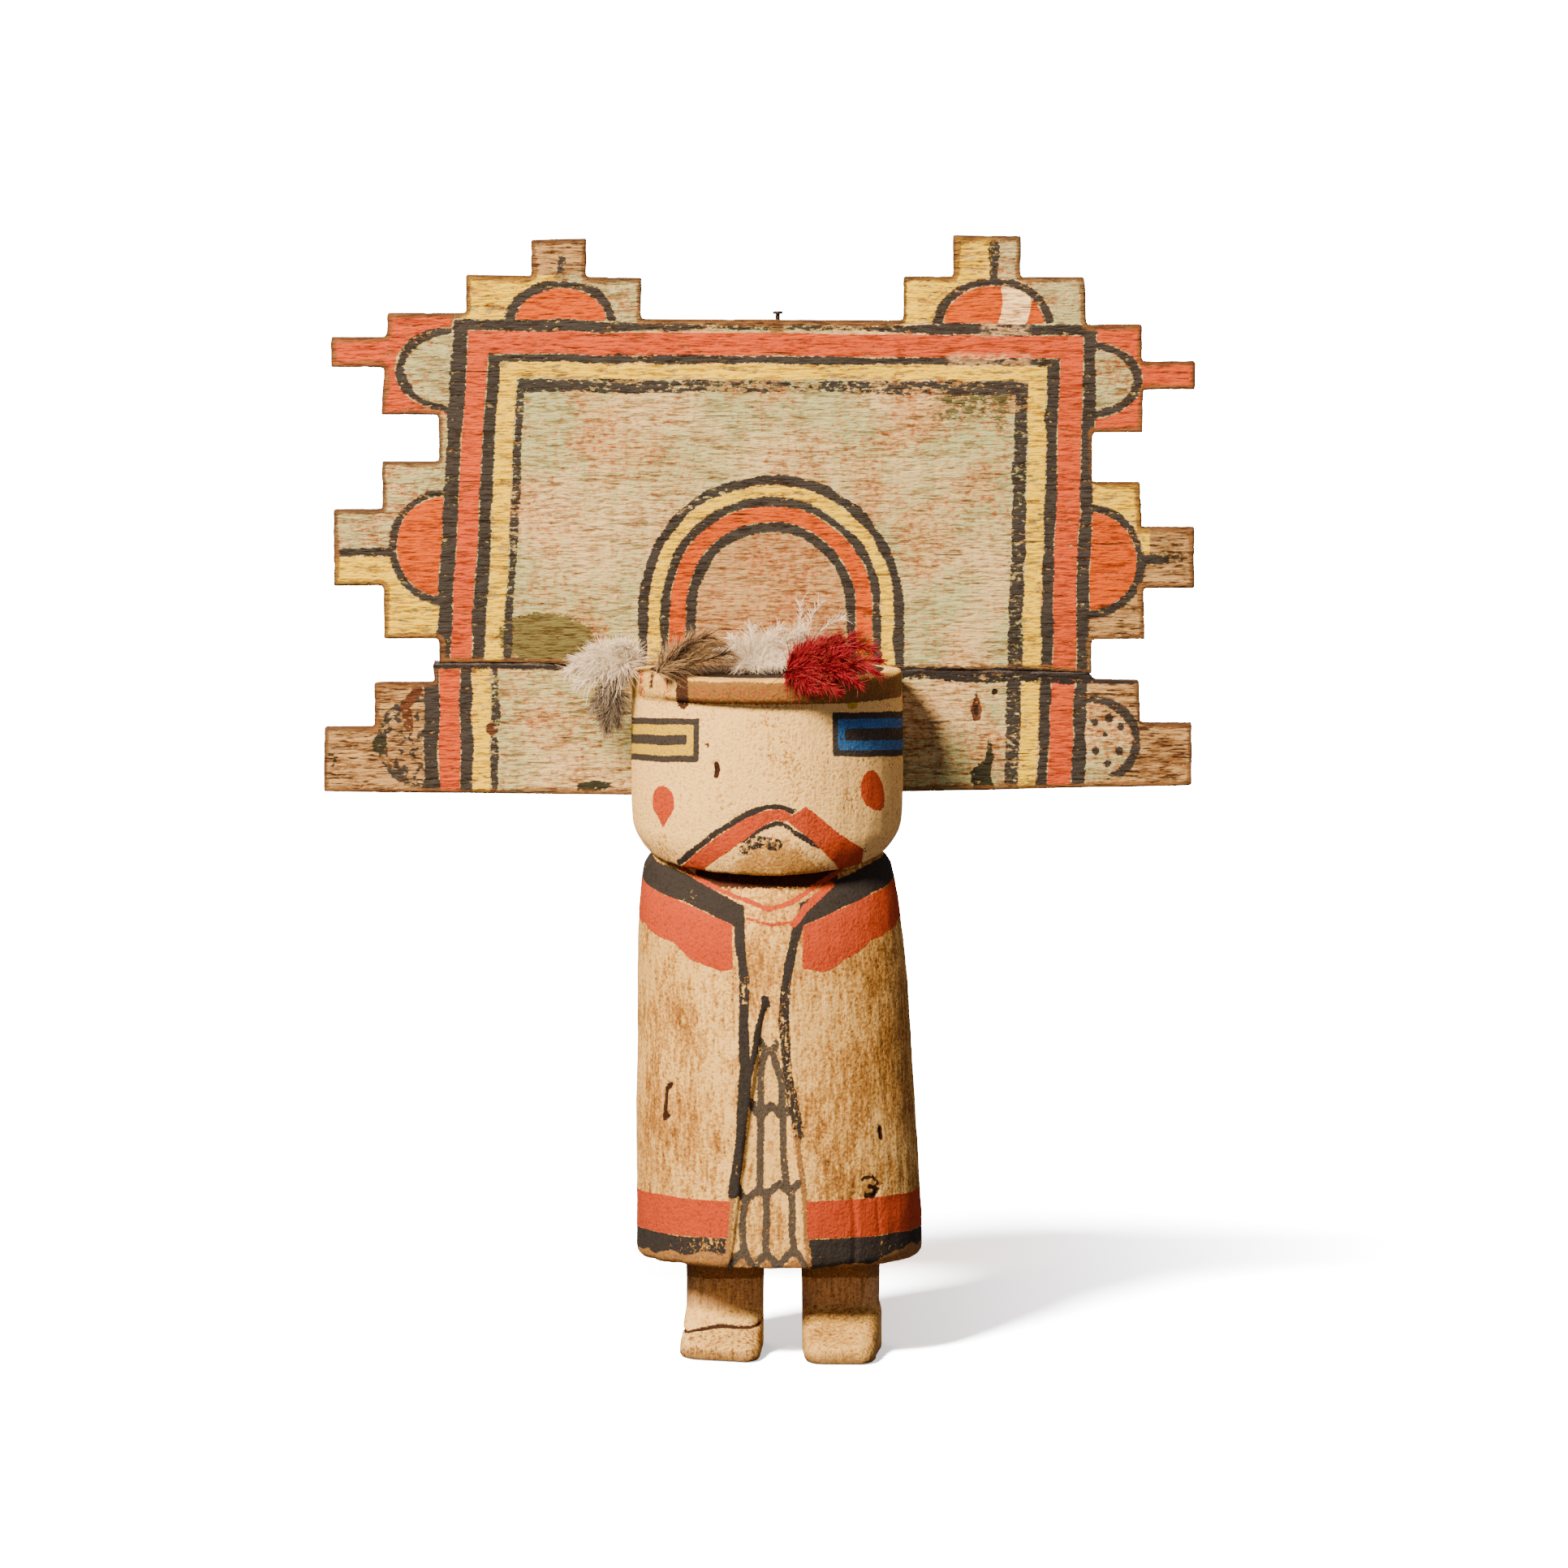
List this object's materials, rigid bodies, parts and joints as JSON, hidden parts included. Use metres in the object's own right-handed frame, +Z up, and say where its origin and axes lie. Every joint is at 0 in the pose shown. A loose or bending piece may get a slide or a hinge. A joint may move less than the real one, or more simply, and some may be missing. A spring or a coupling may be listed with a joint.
{
  "type": "kachina doll",
  "caption": "Carved and painted standing wooden doll in a long robe, with a thin stepped headboard against the back of its head and downy feathers on the crown.",
  "frame": {"origin": "middle of the overall footprint, on the ground plane under the soles", "axes": "+Z up from the soles to the headboard's crests; the face looks along -Y; +X runs to the viewer's right when facing the doll"},
  "size_m": [0.235, 0.074, 0.2994],
  "materials": {
    "painted_root": "worn chalky mineral paint over cottonwood root",
    "painted_board": "worn mineral paint over thin split boards",
    "nail_iron": "dark rusted iron",
    "white_down": "soft white and grey-brown down",
    "brown_feather": "dark brown barbed feather",
    "red_down": "red dyed down with tan tips"
  },
  "bodies": {
    "root": {"figure": "painted_root", "tablita_upper_board": "painted_board", "tablita_lower_board": "painted_board", "nail": "nail_iron", "feather_white_left": "white_down", "feather_white_middle": "white_down", "feather_brown": "brown_feather", "feather_red": "red_down"}
  },
  "joints": []
}
